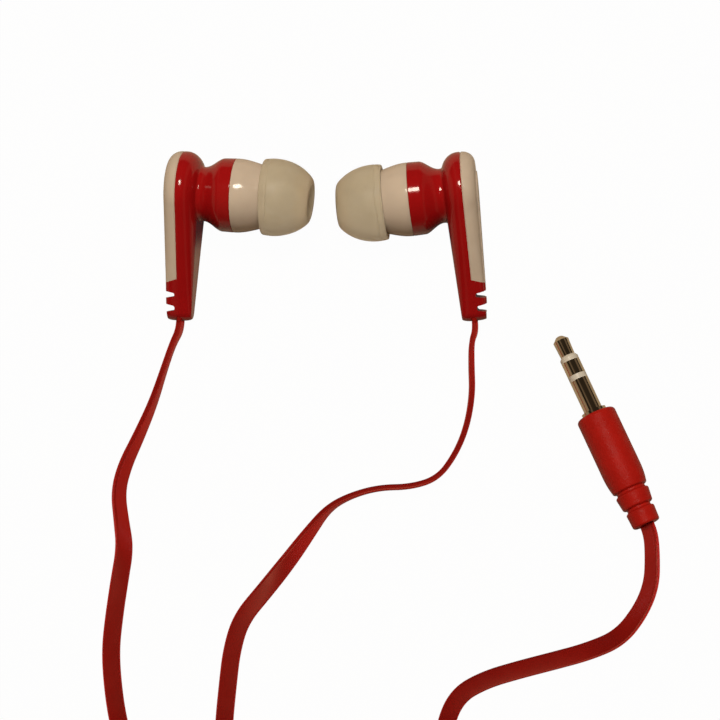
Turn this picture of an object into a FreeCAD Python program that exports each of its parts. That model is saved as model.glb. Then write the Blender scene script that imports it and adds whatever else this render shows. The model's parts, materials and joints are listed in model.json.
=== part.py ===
import FreeCAD, Part
import math
import os
from FreeCAD import Placement, Rotation, Vector

# Wired in-ear earphones lying on a table: two buds, a flat cord and a 3.5 mm plug.
# Millimetres. +Z is up from the table, +Y runs from the stems to the tops of the buds.
# The origin is on the table, under the middle of the pair of buds.
# A bud is drawn in its own frame: +X from the back cover to the ear, -Y down the stem.

# Back housing of a bud, a teardrop seen from behind
disc_r = 7.7
stem_end_r = 2.2
stem_reach = 23.65
cover_depth = 2.45
seam_lean = 0.01
seam_round = 0.18
seam_drop = 0.14
cover_edge = 2.2
cover_edge_low = 0.4
cover_foot_lift = 0.3
cover_lean = 0.026
cover_crown = 0.25
crown_inset = 1.6
crown_inset_low = 0.7
cover_wall = 1.0
cover_end_len = 7.4
cover_end_slope = 0.34
lip_wall = 0.7
lip_reach = 1.0
housing_wall = 1.2
flange_side = 0.4
flange_edge = 4.1
flange_edge_low = 1.0
flange_foot_lift = 0.5
flange_front = 6.05
flange_lean = 0.04
front_wall = 1.0
cavity_end_len = 10.15

# Strain relief comb at the foot of the stem, measured from the foot
slot_depth = 2.15
slot_lip = 0.1
slot_flare = 0.2
slot_mid_lens = (4.9, 2.4)
slot_mouths = (1.35, 1.55)
slot_throats = (0.75, 1.00)

# Neck and barrel, one length after the other along the axis
neck_r = 5.0
neck_len = 0.55
neck_fillet = 0.5
neck_wall = 1.1
rise_len = 3.6
barrel_r = 6.8
barrel_flare = 0.06
barrel_len = 2.1
barrel_wall = 1.2
spigot_len = 1.3
spigot_wall = 0.54

# White front shell and nozzle
shoulder_len = 4.7
shoulder_r = 5.95
driver_ledge = 0.5
chamber_depth = 1.5
front_curve_len = 1.3
nozzle_r = 2.6
nozzle_bore_r = 1.9
nozzle_len = 5.3
nozzle_lip_r = 2.85
nozzle_lip_len = 1.0
face_ring = 1.5
face_bulge = 0.45
mesh_seat_r = 2.15
mesh_seat_depth = 0.4
mesh_thick = 0.25
mesh_hole_r = 0.16
mesh_hole_pitch = 0.62

# Silicone ear tip
tip_overlap = 1.2
tip_beyond = 2.3
tip_r = 7.1
tip_widest_len = 1.8
tip_fullness = 1.4
tip_bore_r = 2.35
tip_mouth_r = 2.9
tip_face_r = 3.9
tip_wall = 0.6
tip_core_wall = 0.75
tip_band_len = 1.2
tip_slide = 1.8

# Dynamic driver
driver_setback = 1.1
yoke_wall = 0.45
yoke_base = 0.5
yoke_air = 0.25
magnet_inset = 0.1
magnet_len = 0.9
pole_air = 0.15
pole_len = 0.5
coil_wall = 0.25
coil_len = 1.35
surround_width = 1.2
rim_air = 0.15
cone_thick = 0.12
cone_dome = 0.6
cone_travel = 0.15
cone_setback = 0.35
cone_rim_width = 0.2
frame_wall = 0.45
frame_floor = 0.6
frame_depth = 3.2
frame_vent_r = 0.3
frame_vents = 6
grille_thick = 0.3
grille_stand = 0.6
grille_hole_r = 0.6
grille_hole_pitch = 2.3
damper_thick = 0.2
board_inset = 0.9
board_thick = 0.4
pad_r = 0.4
pad_thick = 0.25
pad_side = 1.5

# Clearances: glued or pressed seats, the ear tip on its nozzle, soft solids side by side
seat_gap = 0.03
nozzle_gap = 0.05
soft_gap = 0.35

# Places that follow from the lengths above
cover_end_y = cover_end_len - stem_reach
cavity_end_y = cavity_end_len - stem_reach
neck_end = flange_front + neck_len
barrel_start = neck_end + rise_len
barrel_start_r = barrel_r - barrel_flare
seam_x = barrel_start + barrel_len
shoulder_x = seam_x + shoulder_len
front_face_x = shoulder_x + front_curve_len
nozzle_tip_x = front_face_x + nozzle_len
tip_start = front_face_x - tip_overlap
tip_end = nozzle_tip_x + tip_beyond
tip_widest_x = tip_start + tip_widest_len
driver_back_x = seam_x - driver_setback

# Radii of the driver, from the barrel inwards
driver_r = barrel_r - barrel_wall - spigot_wall - 2 * seat_gap
chamber_r = driver_r - driver_ledge
cone_rim_r = driver_r - frame_wall - rim_air
coil_outer_r = cone_rim_r - surround_width
coil_inner_r = coil_outer_r - coil_wall
yoke_r = coil_outer_r + yoke_air + yoke_wall
pole_r = coil_inner_r - pole_air
magnet_r = pole_r - magnet_inset
board_r = yoke_r - board_inset

# Flat cord
cord_width = 3.3
cord_thick = 1.05
cord_seat_x = 2.85
turn_pitch = 2.3
layer_pitch = 3.9
anchor_len = 2.6
anchor_width = 4.0
anchor_wall = 0.5
anchor_round = 0.4
lead_wire_r = 0.22

# 3.5 mm plug, drawn along its own X axis from the collar towards the tip
shaft_r = 1.75
collar_r = 2.35
collar_len = 0.7
sleeve_len = 6.4
ring_gap_len = 1.0
ring_len = 2.8
tip_gap_len = 1.2
tip_neck_r = 1.38
tip_head_r = 1.52
tip_len = 4.05
tip_head_len = 3.15
tip_nose_r = 0.45
rod_r = 0.42
ring_tube_r = (0.66, 0.90)
sleeve_bore_r = 1.14
tag_step = 1.3
boot_r = 3.73
boot_len = 22.4
core_r = 2.3
core_len = 5.5
boot_hollow_r = 1.9
boot_hollow_len = 6.0
cord_in_boot = 12.3
plug_wire_lead = 2.2
plug_wire_apart = 1.0
boot_taper_len = 3.9
boot_taper_r = 3.35
boot_ribs = ({"len": 2.75, "r": (3.18, 2.92)}, {"len": 3.0, "r": (2.72, 2.6)})
boot_round = 0.4
groove_len = 0.68
groove_depth = 0.45

# How each bud lies: heading of the ear tip, tip lifted, stem end lowered, all in degrees,
# and where the middle of its back face stands
bud_poses = {
    "left": {"turn": -4.0, "tip_up": 6.3, "stem_down": 11.0, "at": (-29.0, 8.0), "tip_out": 0.5},
    "right": {"turn": 5.0, "tip_up": -6.5, "stem_down": 12.0, "at": (27.65, 7.7), "tip_out": 0.0},
}

# How the plug lies: its nose and the edge of its boot touch the table
plug_nose_at = (43.25, -18.2)
plug_heading = 113.1
plug_nose_down = 9.0
plug_cord_roll = 56.0

# Routes of the free stretches: x, y, z of the middle of the cord and its roll,
# where 90 stands the flat cord on its edge and 0 lays it flat
left_lead_route = [
    (-28.7, -19.6, 2.60, 90), (-30.3, -24.1, 1.90, 91), (-32.3, -30.5, 1.66, 100),
    (-35.0, -36.9, 1.60, 113), (-37.5, -42.2, 1.49, 124), (-38.7, -47.1, 1.49, 125),
    (-38.0, -52.5, 1.43, 130), (-37.3, -57.4, 1.16, 149), (-38.3, -63.5, 0.84, 166),
    (-39.2, -69.9, 0.60, 178), (-39.8, -76.1, 0.54, 180), (-39.3, -82.6, 0.54, 180),
    (-38.2, -89.2, 0.68, 178), (-36.3, -94.2, 1.58, 135),
]
right_lead_route = [
    (26.8, -19.4, 3.30, 92), (26.8, -23.8, 2.45, 90), (27.0, -29.0, 1.85, 90),
    (25.9, -35.2, 1.67, 90), (23.7, -40.3, 1.67, 90), (20.5, -44.6, 1.67, 90),
    (15.5, -46.2, 1.67, 90), (9.6, -46.3, 1.67, 90), (4.3, -47.8, 1.67, 92),
    (0.2, -50.1, 1.67, 100), (-3.1, -54.4, 1.51, 123), (-7.0, -59.7, 1.18, 148),
    (-11.5, -65.3, 0.81, 168), (-15.8, -70.4, 0.68, 174), (-17.5, -76.1, 0.54, 180),
    (-18.2, -82.6, 0.54, 180), (-18.8, -89.2, 0.68, 178), (-18.9, -95.4, 1.58, 135),
]
main_lead_route = [
    (59.2, -58.9, 6.90, 56), (59.3, -64.0, 4.90, 50), (57.6, -68.9, 2.70, 40),
    (53.9, -73.9, 1.20, 26), (48.0, -76.4, 0.73, 8), (41.6, -78.1, 0.54, 0),
    (35.3, -79.7, 0.54, 0), (29.1, -81.5, 0.54, 0), (24.0, -84.3, 0.54, 0),
    (21.5, -89.9, 0.79, 8), (21.6, -95.7, 1.58, 50),
]
left_tail_route = [
    (-25.9, -129.9, 3.40, 65), (-20.6, -137.3, 1.60, 28), (-12.8, -141.8, 1.30, 6),
]
right_tail_route = [(-13.8, -129.6, 3.30, 60), (-10.0, -135.1, 1.60, 20)]
main_tail_route = [(25.7, -131.3, 3.40, 65), (22.9, -137.1, 1.70, 25)]
straight_out = 1.75
coil_run_in = 7.0
coil_run_out = 5.0
split_run_in = 4.5

# Put-away coils: middle, outer radius, turns, side that the cord enters, and +1 for winding
# anticlockwise seen from above
coils = {
    "left": {"mid": (-45.6, -115.7), "r": 17.3, "turns": 2.0 + 20 / 360, "from": 25.0, "way": -1},
    "right": {"mid": (-1.2, -111.7), "r": 17.0, "turns": 2.0 + 10 / 360, "from": 180.0, "way": 1},
    "main": {"mid": (42.4, -111.7), "r": 20.0, "turns": 7.0 + 15 / 360, "from": 180.0, "way": 1},
}

# Moulded Y split where the two branches join the main cord
split_at = (-0.6, -140.4)
split_len = 13.0
split_thick = 2.6
split_branch_y = 2.1
split_wall = 1.1
split_wide_len = 7.15
split_end_wall = 1.5
split_corner_r = 1.4
split_rim_r = 0.6

X_AXIS = Vector(1, 0, 0)
Z_AXIS = Vector(0, 0, 1)
BIG = 60.0
parts = {}


def revolve(outline):
    """Turn a closed outline of (x, r) points or edges about the X axis."""
    if isinstance(outline[0], tuple):
        corners = [Vector(x, r, 0) for x, r in outline]
        wire = Part.makePolygon(corners + corners[:1])
    else:
        wire = Part.Wire(Part.__sortEdges__(outline))
    return Part.Face(wire).revolve(Vector(0, 0, 0), X_AXIS, 360)


def tube(x_low, x_high, r_out, r_in=0.0):
    """A ring or a disc about the X axis."""
    return revolve([(x_low, r_in), (x_high, r_in), (x_high, r_out), (x_low, r_out)])


def line(a, b):
    return Part.LineSegment(Vector(a[0], a[1], 0), Vector(b[0], b[1], 0)).toShape()


def arc(a, mid, b):
    points = [Vector(p[0], p[1], 0) for p in (a, mid, b)]
    return Part.Arc(*points).toShape()


def teardrop(x_top, lean, inset=0.0, inset_low=0.0, end_lift=0.0):
    """Outline of the housing on a plane that leans along the stem: two circles and their tangents."""
    r_top = disc_r - inset
    r_low = stem_end_r - inset_low
    low_y = -(stem_reach - end_lift - r_low)
    sine = (r_top - r_low) / -low_y
    cosine = math.sqrt(1 - sine * sine)

    def spot(y, z):
        return Vector(x_top + lean * y, y, z)

    top_right = spot(-r_top * sine, r_top * cosine)
    top_left = spot(-r_top * sine, -r_top * cosine)
    low_right = spot(low_y - r_low * sine, r_low * cosine)
    low_left = spot(low_y - r_low * sine, -r_low * cosine)
    crown = spot(r_top, 0)
    foot = spot(low_y - r_low, 0)
    high = math.radians(45) - math.asin(sine) / 2
    low = math.radians(45) + math.asin(sine) / 2
    mids = [
        spot(r_top * math.sin(high), r_top * math.cos(high)),
        spot(low_y - r_low * math.sin(low), r_low * math.cos(low)),
    ]
    edges = [
        Part.Arc(top_right, mids[0], crown).toShape(),
        Part.Arc(crown, Vector(mids[0].x, mids[0].y, -mids[0].z), top_left).toShape(),
        Part.LineSegment(top_left, low_left).toShape(),
        Part.Arc(low_left, Vector(mids[1].x, mids[1].y, -mids[1].z), foot).toShape(),
        Part.Arc(foot, mids[1], low_right).toShape(),
        Part.LineSegment(low_right, top_right).toShape(),
    ]
    return Part.Wire(edges)


def seam_band(x_low, x_high, drop_low, drop_high):
    """The narrow band of the housing beside its seam, drawn in by a drop at either end."""
    return Part.makeLoft([
        teardrop(x_low, -seam_lean, drop_low, drop_low),
        teardrop(x_high, -seam_lean, drop_high, drop_high),
    ], True, True)


def back_dome(inset=0.0, floor=0.0, lean=seam_lean, crown=cover_crown):
    """The rounded back of the housing, from beside its seam to its outer face and its crown."""
    rows = []
    start = cover_depth - seam_round
    inset_low = min(inset, stem_end_r / 2)
    for angle in (0, 30, 55, 75, 90):
        depth = math.sin(math.radians(angle))
        drawn_in = 1 - math.cos(math.radians(angle))
        rows.append(teardrop(
            start - (start - floor) * depth, -lean - (cover_lean - lean) * depth,
            inset + cover_edge * drawn_in, inset_low + cover_edge_low * drawn_in,
            inset + cover_foot_lift * drawn_in,
        ))
    if crown:
        rows.append(teardrop(
            floor - crown, -cover_lean, inset + cover_edge + crown_inset,
            inset_low + cover_edge_low + crown_inset_low, inset + cover_foot_lift + crown_inset,
        ))
    return Part.makeLoft(rows, True, False)


def back_form(drop=0.0):
    """The back of the housing up to its seam, whose edge is drawn in by a drop."""
    return back_dome().fuse(seam_band(cover_depth - seam_round, cover_depth, 0, drop))


def flange_form():
    """The red half of the housing, from the seam to its rounded front edge."""
    start = cover_depth + seam_round
    span = flange_front - start
    side = flange_side / (flange_side + flange_edge)
    rows = [teardrop(start, -seam_lean, 0, 0)]
    for angle in (0, 25, 50, 70, 90):
        share = side + (1 - side) * math.sin(math.radians(angle))
        drawn_in = 1 - math.cos(math.radians(angle))
        rows.append(teardrop(
            start + span * share, flange_lean * share, flange_edge * drawn_in,
            flange_edge_low * drawn_in, flange_foot_lift * drawn_in,
        ))
    flush_band = seam_band(cover_depth, start, 0, 0).common(below_cover())
    return Part.makeLoft(rows[:2], True, True).fuse([
        Part.makeLoft(rows[1:], True, False), seam_band(cover_depth, start, seam_drop, 0), flush_band])


def below_cover():
    """Everything under the slanted lower end of the back cover."""
    slope = cover_end_slope
    corners = [
        (-BIG, cover_end_y - slope * (BIG + cover_depth / 2)),
        (BIG, cover_end_y + slope * (BIG - cover_depth / 2)),
        (BIG, -BIG), (-BIG, -BIG),
    ]
    points = [Vector(x, y, -BIG / 2) for x, y in corners]
    return Part.Face(Part.makePolygon(points + points[:1])).extrude(Vector(0, 0, BIG))


def stem_slot(mid_y, mouth, throat):
    """One slot of the comb, flared at its mouth and round at its end, right through the stem."""
    inner = slot_depth - throat / 2
    outside = -stem_end_r
    wide = mouth / 2 + slot_flare
    edges = [
        line((outside, mid_y + wide), (slot_lip, mid_y + mouth / 2)),
        line((slot_lip, mid_y + mouth / 2), (inner, mid_y + throat / 2)),
        arc((inner, mid_y + throat / 2), (slot_depth, mid_y), (inner, mid_y - throat / 2)),
        line((inner, mid_y - throat / 2), (slot_lip, mid_y - mouth / 2)),
        line((slot_lip, mid_y - mouth / 2), (outside, mid_y - wide)),
        line((outside, mid_y - wide), (outside, mid_y + wide)),
    ]
    face = Part.Face(Part.Wire(edges))
    face.translate(Vector(0, 0, -BIG / 2))
    return face.extrude(Vector(0, 0, BIG))


def flat_section(mid, width_way, thick_way, width=cord_width, thick=cord_thick):
    """The cord's section, flat with round edges, as a closed wire."""
    half = (width - thick) / 2
    r = thick / 2
    slant = math.sqrt(0.5)

    def spot(along, across):
        return mid + width_way * along + thick_way * across

    edges = [
        Part.LineSegment(spot(-half, r), spot(half, r)).toShape(),
        Part.Arc(spot(half, r), spot(half + r * slant, r * slant), spot(half + r, 0)).toShape(),
        Part.Arc(spot(half + r, 0), spot(half + r * slant, -r * slant), spot(half, -r)).toShape(),
        Part.LineSegment(spot(half, -r), spot(-half, -r)).toShape(),
        Part.Arc(spot(-half, -r), spot(-half - r * slant, -r * slant), spot(-half - r, 0)).toShape(),
        Part.Arc(spot(-half - r, 0), spot(-half - r * slant, r * slant), spot(-half, r)).toShape(),
    ]
    return Part.Wire(edges)


def stem_channel(clearance):
    """The cord's way up the stem, from below its foot into the cavity."""
    low_y = -stem_reach - 1.0
    wire = flat_section(
        Vector(cord_seat_x, low_y, 0), Z_AXIS, X_AXIS,
        cord_width + 2 * clearance, cord_thick + 2 * clearance,
    )
    return Part.Face(wire).extrude(Vector(0, cavity_end_y + 0.8 - low_y, 0))


def housing_hollow():
    """The room inside the red half: straight for the cover's lip, then drawn in."""
    inset_low = stem_end_r / 2
    front_x = flange_front - front_wall
    drawn_in = housing_wall + flange_edge / 2
    room = Part.makeLoft([
        teardrop(cover_depth - 0.4, 0, housing_wall, inset_low, housing_wall),
        teardrop(cover_depth + lip_reach + 0.1, 0, housing_wall, inset_low, housing_wall),
        teardrop(front_x, flange_lean, drawn_in, inset_low, housing_wall),
    ], True, True)
    low = Part.makeBox(BIG, BIG, BIG, Vector(-BIG / 2, cavity_end_y - BIG, -BIG / 2))
    return room.cut(low)


def neck_root(shell):
    """The edges where the neck leaves the housing."""
    edges = []
    for edge in shell.Edges:
        spots = edge.discretize(5)
        on_neck = all(abs(math.hypot(spot.y, spot.z) - neck_r) < 0.01 for spot in spots)
        if on_neck and max(spot.x for spot in spots) < neck_end - 0.05:
            edges.append(edge)
    return edges


def make_rear_shell():
    """Red half of the housing with its neck, barrel and comb."""
    neck_start = cover_depth + lip_reach
    rise = Part.BezierCurve()
    rise.setPoles([
        Vector(neck_end, neck_r, 0), Vector(neck_end + 0.4 * rise_len, neck_r + 0.1, 0),
        Vector(barrel_start - 0.3 * rise_len, barrel_start_r - 0.04, 0),
        Vector(barrel_start, barrel_start_r, 0),
    ])
    edge_start = (seam_x - seam_round, barrel_r)
    edge_mid = (seam_x - 0.25 * seam_round, barrel_r - 0.3 * seam_drop)
    edge_end = (seam_x, barrel_r - seam_drop)
    barrel = revolve([
        line((neck_start, 0), (neck_start, neck_r)), line((neck_start, neck_r), (neck_end, neck_r)),
        rise.toShape(), line((barrel_start, barrel_start_r), edge_start),
        arc(edge_start, edge_mid, edge_end), line(edge_end, (seam_x, 0)),
        line((seam_x, 0), (neck_start, 0)),
    ])
    comb = back_form().common(below_cover())
    shell = flange_form().fuse([barrel, comb]).removeSplitter()
    shell = shell.makeFillet(neck_fillet, neck_root(shell))
    bore_r = neck_r - neck_wall
    inner_r = barrel_r - barrel_wall
    hollow = revolve([
        (neck_start, 0), (seam_x + 1, 0), (seam_x + 1, inner_r),
        (barrel_start - 0.25 * rise_len, inner_r), (neck_end + 0.15 * rise_len, bore_r),
        (neck_start, bore_r),
    ])
    cuts = [hollow, housing_hollow(), stem_channel(seat_gap)]
    for mid_len, mouth, throat in zip(slot_mid_lens, slot_mouths, slot_throats):
        cuts.append(stem_slot(mid_len - stem_reach, mouth, throat))
    return shell.cut(cuts).removeSplitter()


def make_back_cover():
    """White cap over the back of the housing, with a lip that enters the red half."""
    outer_inset = housing_wall + seat_gap
    inner_inset = outer_inset + lip_wall
    inset_low = stem_end_r / 2
    lip_end = cover_depth + lip_reach
    lip_low = Part.makeBox(BIG, BIG, BIG, Vector(-BIG / 2, cavity_end_y + seat_gap, -BIG / 2))
    lip = Part.makeLoft([
        teardrop(cover_depth - 0.5, 0, outer_inset, inset_low + seat_gap, outer_inset),
        teardrop(lip_end, 0, outer_inset, inset_low + seat_gap, outer_inset),
    ], True, True).common(lip_low)
    room_front = Part.makeLoft([
        teardrop(cover_depth - seam_round, 0, inner_inset, inset_low, inner_inset),
        teardrop(lip_end + 0.1, 0, inner_inset, inset_low, inner_inset),
    ], True, True)
    room = back_dome(inner_inset, cover_wall, 0.0, 0.0).fuse(room_front)
    room_low = Part.makeBox(BIG, BIG, BIG, Vector(-BIG / 2, cavity_end_y, -BIG / 2))
    cap = back_form(seam_drop).cut(below_cover()).fuse(lip)
    return cap.cut([room.common(room_low), stem_channel(seat_gap)]).removeSplitter()


def make_front_shell():
    """White front of the barrel with the nozzle and the driver's seat."""
    driver_front = driver_back_x + damper_thick + frame_depth + grille_stand + grille_thick
    chamber_front = driver_front + chamber_depth
    inner_r = barrel_r - barrel_wall
    curve_x = seam_x + seam_round
    curve = Part.BezierCurve()
    curve.setPoles([
        Vector(curve_x, barrel_r, 0), Vector(seam_x + 0.4 * shoulder_len, barrel_r, 0),
        Vector(shoulder_x - 0.34 * shoulder_len, shoulder_r + face_bulge, 0),
        Vector(shoulder_x, shoulder_r, 0),
    ])
    face_r = nozzle_r + face_ring
    lip_x = nozzle_tip_x - mesh_seat_depth - nozzle_lip_len
    outline = [
        (front_face_x, nozzle_r), (lip_x, nozzle_r), (lip_x + 0.15, nozzle_lip_r),
        (lip_x + nozzle_lip_len - 0.35, nozzle_lip_r), (nozzle_tip_x, nozzle_r - 0.1),
        (nozzle_tip_x, mesh_seat_r), (nozzle_tip_x - mesh_seat_depth, mesh_seat_r),
        (nozzle_tip_x - mesh_seat_depth, nozzle_bore_r), (chamber_front, nozzle_bore_r),
        (chamber_front, chamber_r), (driver_front, chamber_r), (driver_front, driver_r + seat_gap),
        (seam_x - spigot_len, driver_r + seat_gap), (seam_x - spigot_len, inner_r - seat_gap),
        (seam_x, inner_r - seat_gap), (seam_x, barrel_r - seam_drop),
    ]
    edges = [line(a, b) for a, b in zip(outline, outline[1:])]
    edges.append(arc(
        outline[-1], (seam_x + 0.25 * seam_round, barrel_r - 0.3 * seam_drop), (curve_x, barrel_r)))
    edges.append(curve.toShape())
    edges.append(arc(
        (shoulder_x, shoulder_r), (front_face_x - 0.35, (shoulder_r + face_r) / 2 + face_bulge),
        (front_face_x, face_r),
    ))
    edges.append(line((front_face_x, face_r), (front_face_x, nozzle_r)))
    return revolve(edges)


def make_ear_tip():
    """Silicone tip: a core that grips the nozzle, turned back into a thin umbrella."""
    core_in = nozzle_r + nozzle_gap
    recess = nozzle_lip_r + nozzle_gap
    core_out = recess + tip_core_wall
    core_start = front_face_x + soft_gap
    band_end = core_start + tip_band_len
    bore_start = nozzle_tip_x + nozzle_gap + 0.2
    dome_len = tip_end - tip_widest_x
    half = dome_len + tip_fullness
    inner_half = half - tip_wall

    def outer(x):
        return tip_r * math.sqrt(1 - ((x - tip_widest_x) / half) ** 2)

    def inner(x):
        return (tip_r - tip_wall) * math.sqrt(1 - ((x - tip_widest_x) / inner_half) ** 2)

    def spline(points):
        curve = Part.BSplineCurve()
        curve.interpolate([Vector(x, r, 0) for x, r in points])
        return curve.toShape()

    rim_end = tip_start + tip_wall / 2
    outer_xs = [rim_end] + [tip_widest_x + dome_len * share for share in (0, 0.35, 0.67, 0.87, 0.965)]
    outer_points = [(x, outer(x)) for x in outer_xs]
    root_x = tip_widest_x + 0.64 * dome_len
    inner_xs = [rim_end, tip_widest_x, (tip_widest_x + root_x) / 2, root_x]
    inner_points = [(x, inner(x)) for x in inner_xs]
    rim_r = (outer_points[0][1] + inner_points[0][1]) / 2
    face_end = (tip_end, tip_face_r - 0.45)
    edges = [
        spline(outer_points),
        arc(outer_points[-1], (tip_end - 0.06, tip_face_r - 0.1), face_end),
        line(face_end, (tip_end, tip_mouth_r)),
        line((tip_end, tip_mouth_r), (bore_start, tip_bore_r)),
        line((bore_start, tip_bore_r), (bore_start, recess)),
        line((bore_start, recess), (band_end, recess)),
        line((band_end, recess), (band_end, core_in)),
        line((band_end, core_in), (core_start, core_in)),
        line((core_start, core_in), (core_start, core_out)),
        line((core_start, core_out), (root_x - 0.5, core_out)),
        line((root_x - 0.5, core_out), inner_points[-1]),
        spline(inner_points),
        arc(inner_points[0], (tip_start, rim_r), outer_points[0]),
    ]
    return revolve(edges)


def hex_spots(pitch, rings):
    """Places of a hexagonal pattern of holes about the axis."""
    spots = []
    for row in range(-rings, rings + 1):
        for column in range(-rings, rings + 1):
            if abs(row + column) <= rings:
                spots.append((pitch * (column + row / 2), pitch * row * math.sqrt(3) / 2))
    return spots


def pierce(plate, x_low, x_high, radius, spots):
    """Cut round holes along X through a plate."""
    pins = []
    for y, z in spots:
        pins.append(Part.makeCylinder(radius, x_high - x_low + 2, Vector(x_low - 1, y, z), X_AXIS))
    return plate.cut(pins)


def make_driver():
    """The pieces of the driver, from its circuit board to its perforated front plate."""
    frame_back = driver_back_x + damper_thick
    frame_front = frame_back + frame_depth
    magnet_x = driver_back_x + yoke_base
    pole_x = magnet_x + magnet_len
    gap_front = pole_x + pole_len
    cone_rim_x = frame_front - cone_setback
    neck_x = cone_rim_x - cone_setback
    inner_r = driver_r - frame_wall

    frame = revolve([
        (frame_back, yoke_r + seat_gap), (frame_back + frame_floor, yoke_r + seat_gap),
        (frame_back + frame_floor, inner_r), (frame_front, inner_r), (frame_front, driver_r),
        (frame_back, driver_r),
    ])
    vents = []
    for step in range(frame_vents):
        angle = math.radians(360.0 * step / frame_vents)
        reach = (yoke_r + driver_r) / 2
        vents.append((reach * math.cos(angle), reach * math.sin(angle)))
    frame = pierce(frame, frame_back, frame_back + frame_floor, frame_vent_r, vents)

    yoke = revolve([
        (driver_back_x, 0), (driver_back_x, yoke_r), (gap_front, yoke_r),
        (gap_front, yoke_r - yoke_wall), (magnet_x, yoke_r - yoke_wall), (magnet_x, 0),
    ])
    coil_front = neck_x
    voice_coil = tube(coil_front - coil_len, coil_front, coil_outer_r, coil_inner_r)

    crest_x = neck_x + cone_dome
    roll_r = (coil_outer_r + cone_rim_r) / 2

    def cone_line(shift):
        dome_mid = (neck_x + 0.75 * cone_dome + shift, coil_inner_r / 2)
        return [
            ((crest_x + shift, 0.0), dome_mid, (neck_x + shift, coil_inner_r)),
            ((neck_x + shift, coil_outer_r), (cone_rim_x + cone_thick + shift, roll_r),
             (cone_rim_x + shift, cone_rim_r - cone_rim_width)),
        ]

    edges = []
    for shift in (0.0, cone_thick):
        dome, roll = cone_line(shift)
        edges.append(arc(*dome))
        edges.append(line(dome[2], roll[0]))
        edges.append(arc(*roll))
        edges.append(line(roll[2], (roll[2][0], cone_rim_r)))
    edges.append(line((crest_x, 0), (crest_x + cone_thick, 0)))
    edges.append(line((cone_rim_x, cone_rim_r), (cone_rim_x + cone_thick, cone_rim_r)))
    diaphragm = revolve(edges)

    grille_x = frame_front + grille_stand
    front_plate = revolve([
        (frame_front, inner_r), (grille_x, inner_r), (grille_x, 0), (grille_x + grille_thick, 0),
        (grille_x + grille_thick, driver_r), (frame_front, driver_r),
    ])
    holes = hex_spots(grille_hole_pitch, 1)
    front_plate = pierce(front_plate, grille_x, grille_x + grille_thick, grille_hole_r, holes)

    board = tube(driver_back_x - board_thick, driver_back_x, board_r)
    pads = []
    for side in (-1, 1):
        pads.append(Part.makeCylinder(
            pad_r, pad_thick, Vector(driver_back_x - board_thick - pad_thick, 0, side * pad_side),
            X_AXIS))
    board = board.fuse(pads)
    return {
        "driver_frame": frame,
        "yoke": yoke,
        "magnet": tube(magnet_x, pole_x, magnet_r),
        "pole_plate": tube(pole_x, gap_front, pole_r),
        "voice_coil": voice_coil,
        "diaphragm": diaphragm,
        "driver_front_plate": front_plate,
        "vent_damper": tube(driver_back_x, frame_back, driver_r - 0.1, yoke_r + 2 * seat_gap),
        "driver_board": board,
    }


def round_wire(points, radius):
    """A thin wire along straight runs joined by tangent arcs."""
    path = Part.Wire(route_edges(points)[0])
    start = points[0]
    circle = Part.Wire([Part.makeCircle(radius, start, points[1] - start)])
    return path.makePipeShell([circle], True, False)


def make_bud():
    """All the pieces of one bud, in the bud's own frame."""
    pieces = {
        "rear_shell": make_rear_shell(),
        "back_cover": make_back_cover(),
        "front_shell": make_front_shell(),
        "ear_tip": make_ear_tip(),
    }
    mesh_x = nozzle_tip_x - mesh_seat_depth
    mesh = tube(mesh_x, mesh_x + mesh_thick, mesh_seat_r - seat_gap)
    pieces["nozzle_mesh"] = pierce(
        mesh, mesh_x, mesh_x + mesh_thick, mesh_hole_r, hex_spots(mesh_hole_pitch, 2))
    pieces.update(make_driver())

    anchor_low = cavity_end_y + seat_gap
    stub_wire = flat_section(Vector(cord_seat_x, -stem_reach, 0), Z_AXIS, X_AXIS)
    stub = Part.Face(stub_wire).extrude(Vector(0, stem_reach + anchor_low + 0.3, 0))
    block = Part.makeBox(
        cord_thick + 2 * anchor_wall, anchor_len, anchor_width,
        Vector(cord_seat_x + 0.05 - cord_thick / 2, anchor_low, -anchor_width / 2))
    block = block.makeFillet(anchor_round, block.Edges)
    pieces["cord_anchor"] = stub.fuse(block).removeSplitter()

    wires = []
    wire_start = Vector(cord_seat_x + anchor_wall, anchor_low + anchor_len, 0)
    reach = Vector(driver_back_x - board_thick - pad_thick, 0, 0) - wire_start
    stations = [(0, 0, 0.5), (0, 0.3, 0.5), (0.17, 0.7, 0.8), (0.5, 1, 1), (1, 1, 1)]
    for side in (-1, 1):
        wires.append(round_wire([
            wire_start + Vector(reach.x * along, reach.y * up, side * pad_side * apart)
            for along, up, apart in stations
        ], lead_wire_r))
    pieces["lead_wires"] = Part.makeCompound(wires)
    return pieces


def lay_bud(pieces, name, pose):
    """Turn and lower one bud so that its lowest point meets the table."""
    if name == "right":
        facing = Rotation(Vector(0, 1, 0), 180)
        tip_lift = Rotation(Vector(0, 1, 0), pose["tip_up"])
    else:
        facing = Rotation()
        tip_lift = Rotation(Vector(0, 1, 0), -pose["tip_up"])
    stem_drop = Rotation(X_AXIS, pose["stem_down"])
    heading = Rotation(Z_AXIS, pose["turn"])
    turned = heading.multiply(tip_lift).multiply(stem_drop).multiply(facing)
    flat = Placement(Vector(pose["at"][0], pose["at"][1], 0), turned)
    lowest = 0.0
    for piece in pieces.values():
        copy = piece.copy()
        copy.Placement = flat
        lowest = min(lowest, copy.optimalBoundingBox(False, False).ZMin)
    placed = Placement(Vector(pose["at"][0], pose["at"][1], -lowest), turned)
    for part, piece in pieces.items():
        copy = piece.copy()
        out = pose["tip_out"] if part == "ear_tip" else 0.0
        copy.Placement = placed.multiply(Placement(Vector(out, 0, 0), Rotation()))
        parts[name + "_" + part] = copy
    return placed


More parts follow.
